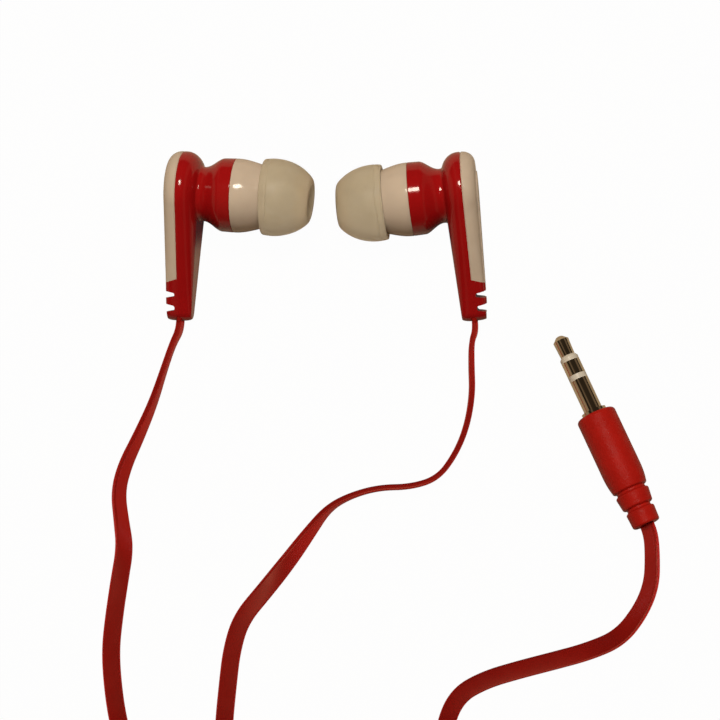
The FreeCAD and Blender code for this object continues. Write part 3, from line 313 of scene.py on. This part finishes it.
def ribbon(name, route, material):
    """A flat cord along a route of (x, y, z, roll), as one closed mesh, and its path."""
    path = spline_samples([point[:3] for point in route])
    rolls = spline_samples([(math.radians(point[3]), 0.0, 0.0) for point in route])
    section = flat_section()
    size = len(section)
    vertices = []
    for number, spot in enumerate(path):
        ahead = path[min(number + 1, len(path) - 1)]
        behind = path[max(number - 1, 0)]
        heading = (ahead - behind).normalized()
        side = UP.cross(heading).normalized()
        over = heading.cross(side)
        roll = rolls[number].x
        width_way = side * math.cos(roll) + over * math.sin(roll)
        thick_way = heading.cross(width_way)
        vertices.extend(spot + width_way * u + thick_way * v for u, v in section)
    faces = skin(len(path), size, closed=False)
    last = (len(path) - 1) * size
    faces.append(tuple(reversed(range(size))))
    faces.append(tuple(last + spoke for spoke in range(size)))
    return mesh_piece(name, vertices, faces, material), path


def new_material(name):
    """A node material, its tree and its shader."""
    material = bpy.data.materials.new(name)
    material.use_nodes = True
    tree = material.node_tree
    return material, tree, tree.nodes["Principled BSDF"]


def noise(tree, scale, detail, roughness=0.5):
    """Noise in the object's own space."""
    place = tree.nodes.new("ShaderNodeTexCoord")
    texture = tree.nodes.new("ShaderNodeTexNoise")
    texture.inputs["Scale"].default_value = scale
    texture.inputs["Detail"].default_value = detail
    texture.inputs["Roughness"].default_value = roughness
    tree.links.new(place.outputs["Object"], texture.inputs["Vector"])
    return texture.outputs["Fac"]


def remap(tree, value, low, high, source=NOISE_RANGE):
    """A value spread from one range to another."""
    node = tree.nodes.new("ShaderNodeMapRange")
    node.inputs["From Min"].default_value, node.inputs["From Max"].default_value = source
    node.inputs["To Min"].default_value = low
    node.inputs["To Max"].default_value = high
    tree.links.new(value, node.inputs["Value"])
    return node.outputs["Result"]


def scaled(colour, share):
    """A colour made darker or lighter."""
    return tuple(channel * share for channel in colour)


def tinted(tree, shader, colour, shares, value):
    """A base colour that goes from one share of it to another with a value."""
    ramp = tree.nodes.new("ShaderNodeValToRGB")
    for stop, share, place in zip(ramp.color_ramp.elements, shares, NOISE_RANGE):
        stop.color = (*scaled(colour, share), 1.0)
        stop.position = place
    tree.links.new(value, ramp.inputs["Fac"])
    tree.links.new(ramp.outputs["Color"], shader.inputs["Base Color"])


def rubbed(tree, shader, low, high, value):
    """A roughness that goes from low to high with a value."""
    tree.links.new(remap(tree, value, low, high), shader.inputs["Roughness"])


def bumped(tree, shader, height, distance, strength):
    """Small relief on the surface from a height value."""
    bump = tree.nodes.new("ShaderNodeBump")
    bump.inputs["Strength"].default_value = strength
    bump.inputs["Distance"].default_value = distance
    tree.links.new(height, bump.inputs["Height"])
    tree.links.new(bump.outputs["Normal"], shader.inputs["Normal"])


def gloss_plastic(name, colour, roughness=0.1):
    """Moulded gloss plastic: nearly even colour, faint flow waves and handling marks."""
    material, tree, shader = new_material(name)
    tinted(tree, shader, colour, (0.96, 1.04), noise(tree, 260.0, 2.0))
    rubbed(tree, shader, roughness * 0.85, roughness * 1.35, noise(tree, 900.0, 4.0, 0.6))
    shader.inputs["IOR"].default_value = 1.46
    shader.inputs["Subsurface Weight"].default_value = 0.05
    shader.inputs["Subsurface Radius"].default_value = (0.0010, 0.0006, 0.0004)
    bumped(tree, shader, noise(tree, 420.0, 1.0), 0.00002, 0.3)
    return material


def soft_moulding(name, colour, roughness=0.42):
    """Soft red moulding with a fine spark-eroded grain and rubbed patches."""
    material, tree, shader = new_material(name)
    tinted(tree, shader, colour, (0.92, 1.08), noise(tree, 420.0, 4.0, 0.6))
    rubbed(tree, shader, roughness * 0.8, roughness * 1.2, noise(tree, 700.0, 4.0))
    shader.inputs["Specular IOR Level"].default_value = 0.25
    bumped(tree, shader, noise(tree, 2200.0, 3.0, 0.6), 0.0001, 0.9)
    return material


def cord_skin(name, colour):
    """Satin skin of the flat cord: faint waves from its extrusion."""
    material, tree, shader = new_material(name)
    tinted(tree, shader, colour, (0.92, 1.08), noise(tree, 120.0, 2.0))
    rubbed(tree, shader, 0.34, 0.42, noise(tree, 500.0, 2.0))
    shader.inputs["Specular IOR Level"].default_value = 0.12
    bumped(tree, shader, noise(tree, 500.0, 2.0), 0.00002, 0.2)
    return material


def silicone(name, colour):
    """Cloudy silicone: light goes a little way in, the skin is satin."""
    material, tree, shader = new_material(name)
    tinted(tree, shader, colour, (0.95, 1.04), noise(tree, 240.0, 3.0))
    rubbed(tree, shader, 0.38, 0.5, noise(tree, 700.0, 3.0))
    shader.inputs["Subsurface Weight"].default_value = 0.75
    shader.inputs["Subsurface Radius"].default_value = (0.0046, 0.0045, 0.0043)
    shader.inputs["Subsurface Scale"].default_value = 1.0
    shader.inputs["IOR"].default_value = 1.41
    bumped(tree, shader, noise(tree, 500.0, 2.0), 0.00004, 0.3)
    return material


def plated_metal(name, colour, roughness):
    """Metal, plated or bare, with fine turning marks and a faint tarnish."""
    material, tree, shader = new_material(name)
    tinted(tree, shader, colour, (0.85, 1.08), noise(tree, 350.0, 4.0))
    rubbed(tree, shader, roughness * 0.85, roughness * 1.2, noise(tree, 700.0, 2.0))
    shader.inputs["Metallic"].default_value = 1.0
    bumped(tree, shader, noise(tree, 1200.0, 1.0), 0.00001, 0.1)
    return material


def matte_plastic(name, colour, roughness=0.5):
    """Plain moulded plastic with a fine grain."""
    material, tree, shader = new_material(name)
    tinted(tree, shader, colour, (0.92, 1.06), noise(tree, 600.0, 3.0))
    rubbed(tree, shader, roughness * 0.85, roughness * 1.15, noise(tree, 1200.0, 2.0))
    bumped(tree, shader, noise(tree, 2500.0, 2.0), 0.00002, 0.4)
    return material


def srgb(red, green, blue):
    """Linear colour of an sRGB colour given from 0 to 255."""
    shares = (red / 255, green / 255, blue / 255)
    return tuple(s / 12.92 if s <= 0.04045 else ((s + 0.055) / 1.055) ** 2.4 for s in shares)


def make_materials():
    """One material for each slot of the record."""
    return {
        "red_shell": gloss_plastic("red_shell", srgb(146, 14, 14)),
        "white_shell": gloss_plastic("white_shell", srgb(187, 167, 144)),
        "silicone": silicone("silicone", srgb(180, 162, 133)),
        "mesh": plated_metal("mesh", srgb(150, 148, 145), 0.3),
        "plated_steel": plated_metal("plated_steel", srgb(190, 188, 184), 0.25),
        "driver_plastic": matte_plastic("driver_plastic", srgb(32, 32, 34)),
        "film": matte_plastic("film", srgb(196, 182, 142), 0.25),
        "copper": plated_metal("copper", srgb(196, 122, 76), 0.3),
        "magnet": plated_metal("magnet", srgb(200, 200, 204), 0.2),
        "board": matte_plastic("board", srgb(28, 96, 52), 0.35),
        "damper": matte_plastic("damper", srgb(226, 222, 208), 0.8),
        "cord": cord_skin("cord", srgb(130, 17, 10)),
        "cord_moulding": soft_moulding("cord_moulding", srgb(170, 24, 15)),
        "contact": plated_metal("contact", srgb(222, 211, 187), 0.12),
        "insulator": matte_plastic("insulator", srgb(196, 184, 164), 0.4),
    }


def dress_nodes(materials):
    """Give every CAD node the finish of its slot in the record."""
    slots = {part["node"]: part["material_slot"] for part in frame["record"]["subparts"]}
    for name, node in nodes.items():
        node.data.materials.clear()
        node.data.materials.append(materials[slots[name]])


def make_cords(materials):
    """The three flat cords, each one length from its exit through its coil to the Y split."""
    cords = {
        "left": (LEFT_LEAD, LEFT_TAIL),
        "right": (RIGHT_LEAD, RIGHT_TAIL),
        "main": (MAIN_LEAD, MAIN_TAIL),
    }
    pieces = []
    for name, (lead, tail) in cords.items():
        route = lead + coil_points(COILS[name]) + tail
        piece, path = ribbon("cord_" + name, route, materials["cord"])
        pieces.append(piece)
        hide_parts(*["cord_%s_%s" % (name, part) for part in ("lead", "coil", "tail")])
        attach(piece, "earphones")
    return pieces


def bezier(start, corner, end, steps):
    """Points of a smooth bend between two places, without the first one."""
    points = []
    for step in range(1, steps + 1):
        t = step / steps
        shares = ((1 - t) ** 2, 2 * t * (1 - t), t ** 2)
        points.append(tuple(
            sum(share * place[k] for share, place in zip(shares, (start, corner, end)))
            for k in (0, 1)
        ))
    return points


def tip_profile():
    """Closed outline of (distance from the nose, radius): bore, face, dome, rim, inside, core."""
    half = TIP_WIDEST + TIP_FULLNESS

    def outer(x):
        return TIP_R * math.sqrt(1 - ((TIP_WIDEST - x) / half) ** 2)

    def inner(x):
        return (TIP_R - TIP_WALL) * math.sqrt(1 - ((TIP_WIDEST - x) / (half - TIP_WALL)) ** 2)

    points = [(TIP_BORE_LENGTH, TIP_BORE_R)]
    for x in TIP_MOUTH_PLACES:
        points.append((x, TIP_MOUTH_R + (TIP_BORE_R - TIP_MOUTH_R) * x / TIP_BORE_LENGTH))
    mouth_edge = (0.0, TIP_MOUTH_R + TIP_MOUTH_ROUND)
    points += bezier(points[-1], (0.0, TIP_MOUTH_R), mouth_edge, steps=5)
    face_end = (0.0, outer(0.0) - TIP_FACE_ROUND)
    dome_start = (TIP_DOME_START, outer(TIP_DOME_START))
    points.append(face_end)
    points += bezier(face_end, (0.0, outer(0.0)), dome_start, steps=6)
    band_start = TIP_LENGTH - TIP_BAND
    dome_length = band_start - TIP_GROOVE_LEAD - TIP_DOME_START
    for step in range(1, TIP_DOME_STEPS + 1):
        x = TIP_DOME_START + dome_length * step / TIP_DOME_STEPS
        points.append((x, outer(x)))
    for x, depth in TIP_GROOVE:
        points.append((band_start + x, outer(band_start) - depth))
    for share in TIP_BAND_SHARES:
        x = band_start + TIP_BAND * share
        points.append((x, outer(x) - TIP_BAND_DEPTH))
    rim_x = TIP_LENGTH - TIP_RIM_ROUND
    rim_r = outer(TIP_LENGTH) - TIP_RIM_DEPTH
    points.append((rim_x, rim_r))
    points += bezier(
        (rim_x, rim_r), (TIP_LENGTH, rim_r), (TIP_LENGTH, rim_r - TIP_RIM_ROUND), steps=4)
    rim_end = (TIP_LENGTH, TIP_RIM_R + TIP_RIM_ROUND)
    points.append(rim_end)
    points += bezier(rim_end, (TIP_LENGTH, TIP_RIM_R), (rim_x, TIP_RIM_R), steps=4)
    points += bezier(
        points[-1], (band_start + TIP_RIM_LEAD, TIP_RIM_R), (band_start, inner(band_start)),
        steps=5)
    root = TIP_ROOT * TIP_WIDEST
    for step in range(1, TIP_INSIDE_STEPS + 1):
        x = band_start + (root - band_start) * step / TIP_INSIDE_STEPS
        points.append((x, inner(x)))
    bore, core = TIP_CORE_R
    points += bezier(points[-1], (root, core), (root + TIP_ROOT_BEND, core), steps=5)
    points += [
        (TIP_CORE_END - TIP_CORE_ROUND, core), (TIP_CORE_END, core - TIP_CORE_ROUND),
        (TIP_CORE_END, bore), (TIP_RECESS_END, bore),
        (TIP_RECESS_END - TIP_RECESS_SLOPE, TIP_RECESS_R), (TIP_BORE_LENGTH, TIP_RECESS_R),
    ]
    return points


def bent(vertices, nose, axis, degrees):
    """The points with the tip's nose turned by some degrees about an upright hinge."""
    span = TIP_WIDEST * TIP_BEND_SHARE
    pivot = nose - axis * TIP_WIDEST * TIP_BEND_SHARE
    hinge = axis.cross(Vector((0.0, 1.0, 0.0))).normalized()
    places = []
    for spot in vertices:
        share = eased((spot - pivot).dot(axis) / span)
        turn = Matrix.Rotation(math.radians(degrees) * share, 3, hinge)
        places.append(pivot + turn @ (spot - pivot))
    return places


def make_ear_tip(side, materials):
    """A silicone tip on its nozzle, its nose bent a little where it was left lying."""
    mount = mounts[side + "_ear"]
    axis = Vector(mount["axis"]).normalized()
    nose = Vector(mount["pos_m"])
    sideways = axis.cross(UP).normalized()
    lift = sideways.cross(axis).normalized()
    profile = tip_profile()
    vertices = []
    for step in range(TIP_STEPS):
        angle = 2 * math.pi * step / TIP_STEPS
        out = sideways * math.cos(angle) + lift * math.sin(angle)
        vertices.extend(nose - axis * x + out * r for x, r in profile)
    vertices = bent(vertices, nose, axis, TIP_BENDS[side])
    faces = skin(TIP_STEPS, len(profile), closed=True)
    piece = mesh_piece(side + "_ear_tip_silicone", vertices, faces, materials["silicone"])
    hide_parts(side + "_ear_tip")
    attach(piece, side + "_tip")
    return piece


def whitened(material, shares):
    """Show a surface white to each kind of ray by its share, over its own shading."""
    tree = material.node_tree
    shader = tree.nodes["Principled BSDF"]
    output = tree.nodes["Material Output"]
    glow = tree.nodes.new("ShaderNodeEmission")
    glow.inputs["Strength"].default_value = 1.0
    rays = tree.nodes.new("ShaderNodeLightPath")
    seen = None
    for ray, share in shares.items():
        part = tree.nodes.new("ShaderNodeMath")
        part.operation = "MULTIPLY"
        part.inputs[1].default_value = share
        tree.links.new(rays.outputs[ray], part.inputs[0])
        if seen is None:
            seen = part.outputs[0]
        else:
            both = tree.nodes.new("ShaderNodeMath")
            both.operation = "MAXIMUM"
            tree.links.new(seen, both.inputs[0])
            tree.links.new(part.outputs[0], both.inputs[1])
            seen = both.outputs[0]
    mix = tree.nodes.new("ShaderNodeMixShader")
    tree.links.new(seen, mix.inputs[0])
    tree.links.new(shader.outputs[0], mix.inputs[1])
    tree.links.new(glow.outputs[0], mix.inputs[2])
    tree.links.new(mix.outputs[0], output.inputs["Surface"])


def make_floor():
    """The table top, white to the camera and tan under the lamps."""
    material, _, shader = new_material("table_top")
    shader.inputs["Base Color"].default_value = FLOOR_COLOUR
    shader.inputs["Roughness"].default_value = 0.9
    shader.inputs["Specular IOR Level"].default_value = 0.0
    whitened(material, FLOOR_WHITE)
    corners = [
        (FLOOR_HALF * x, FLOOR_HALF * y, 0.0) for x, y in ((-1, -1), (1, -1), (1, 1), (-1, 1))
    ]
    floor = mesh_piece("table_top", corners, [(0, 1, 2, 3)], material, smooth=False)
    floor.location.z = -FLOOR_DROP


def add_lamp(name, place, size, watts, colour, rays):
    """A soft box aimed at the buds, which lights by diffuse rays, glossy rays or both."""
    data = bpy.data.lights.new(name, "AREA")
    data.energy = watts
    data.color = colour
    data.shape = "RECTANGLE"
    data.size, data.size_y = size
    lamp = bpy.data.objects.new(name, data)
    lamp.location = place
    lamp.rotation_euler = (-Vector(place)).to_track_quat("-Z", "Y").to_euler()
    lamp.visible_camera = False
    lamp.visible_glossy = rays != "diffuse"
    lamp.visible_diffuse = rays != "glossy"
    scene.collection.objects.link(lamp)
    return lamp


def share_lamp(lamp, pieces, state):
    """Keep a lamp off these pieces, or let it light them alone."""
    group = bpy.data.collections.new(lamp.name + "_pieces")
    lamp.light_linking.receiver_collection = group
    for number, piece in enumerate(pieces):
        group.objects.link(piece)
        group.collection_objects[number].light_linking.link_state = state


def make_room():
    """A dim room with pale stripes, for the gloss to mirror."""
    world = bpy.data.worlds.new("room")
    scene.world = world
    world.use_nodes = True
    tree = world.node_tree
    back = tree.nodes["Background"]
    place = tree.nodes.new("ShaderNodeTexCoord")
    split = tree.nodes.new("ShaderNodeSeparateXYZ")
    ramp = tree.nodes.new("ShaderNodeValToRGB")
    tree.links.new(place.outputs["Generated"], split.inputs["Vector"])
    across = remap(tree, split.outputs["X"], 0.0, 1.0, source=(-1.0, 1.0))
    tree.links.new(across, ramp.inputs["Fac"])
    tree.links.new(ramp.outputs["Color"], back.inputs["Color"])
    stops = ramp.color_ramp.elements
    stops[0].position, stops[1].position = ROOM_STRIPES[0][0], ROOM_STRIPES[-1][0]
    for spot, _ in ROOM_STRIPES[1:-1]:
        stops.new(spot)
    for stop, (_, level) in zip(stops, ROOM_STRIPES):
        stop.color = (*scaled(ROOM_TINT, level), 1.0)


def make_lamps(cords, tips):
    """The broad lamp overhead, and small ones for the cords, the tips and the glints."""
    boot = [nodes["plug_boot"]]
    contacts = [nodes["plug_%s_contact" % part] for part in ("tip", "ring", "sleeve")]
    lit = {
        "high_box": (cords, "EXCLUDE"),
        "cord_box": (cords, "INCLUDE"),
        "near_box": (cords + boot + contacts, "EXCLUDE"),
        "far_box": (boot, "INCLUDE"),
        "glint": (cords, "INCLUDE"),
        "tip_glow": (tips, "INCLUDE"),
        "left_glow": (cords, "INCLUDE"),
        "right_glow": (cords, "INCLUDE"),
    }
    for name, (pieces, state) in lit.items():
        share_lamp(add_lamp(name, *LAMPS[name]), pieces, state)


make_camera()
materials = make_materials()
dress_nodes(materials)
cords = make_cords(materials)
tips = [make_ear_tip(side, materials) for side in ("left", "right")]
make_floor()
make_room()
make_lamps(cords, tips)
scene.view_settings.view_transform = "Standard"
